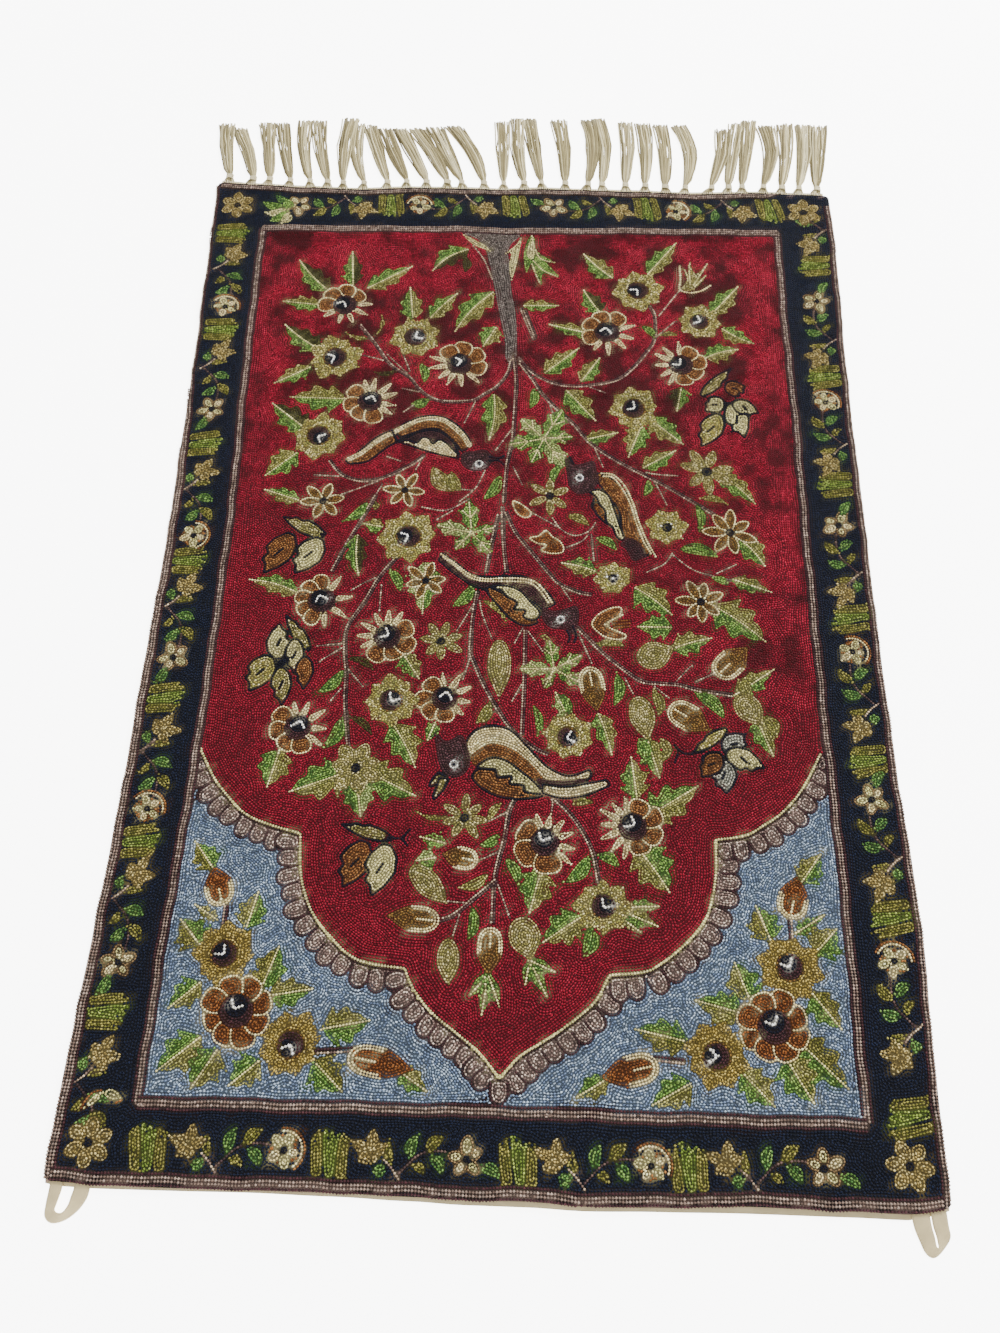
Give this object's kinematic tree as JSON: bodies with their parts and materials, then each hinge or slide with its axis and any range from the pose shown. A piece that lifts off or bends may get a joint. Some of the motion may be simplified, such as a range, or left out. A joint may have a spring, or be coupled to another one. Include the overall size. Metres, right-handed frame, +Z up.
{
  "type": "crewel embroidery panel",
  "caption": "Lined wool chain-stitch panel with a tree of life in a niche, a knotted cotton fringe at one end and tape hanging loops at the other, lying flat.",
  "frame": {"origin": "on the underside, in the middle of the cloth without its fringe and loops", "axes": "+Y along the length, from the hanging loops towards the fringe; +Z up out of the stitched face; +X across, to the right as seen from the loops"},
  "size_m": [0.6286, 1.0516, 0.0068],
  "materials": {
    "lining": "plain cream cotton",
    "stitched_wool": "matt wool chain stitch, mostly deep red and navy",
    "fringe_cotton": "undyed cotton yarn",
    "tape": "woven cream cotton tape"
  },
  "bodies": {
    "root": {"backing_cloth": "lining", "embroidered_panel": "stitched_wool", "fringe": "fringe_cotton", "loop_left": "tape", "loop_right": "tape"}
  },
  "joints": []
}
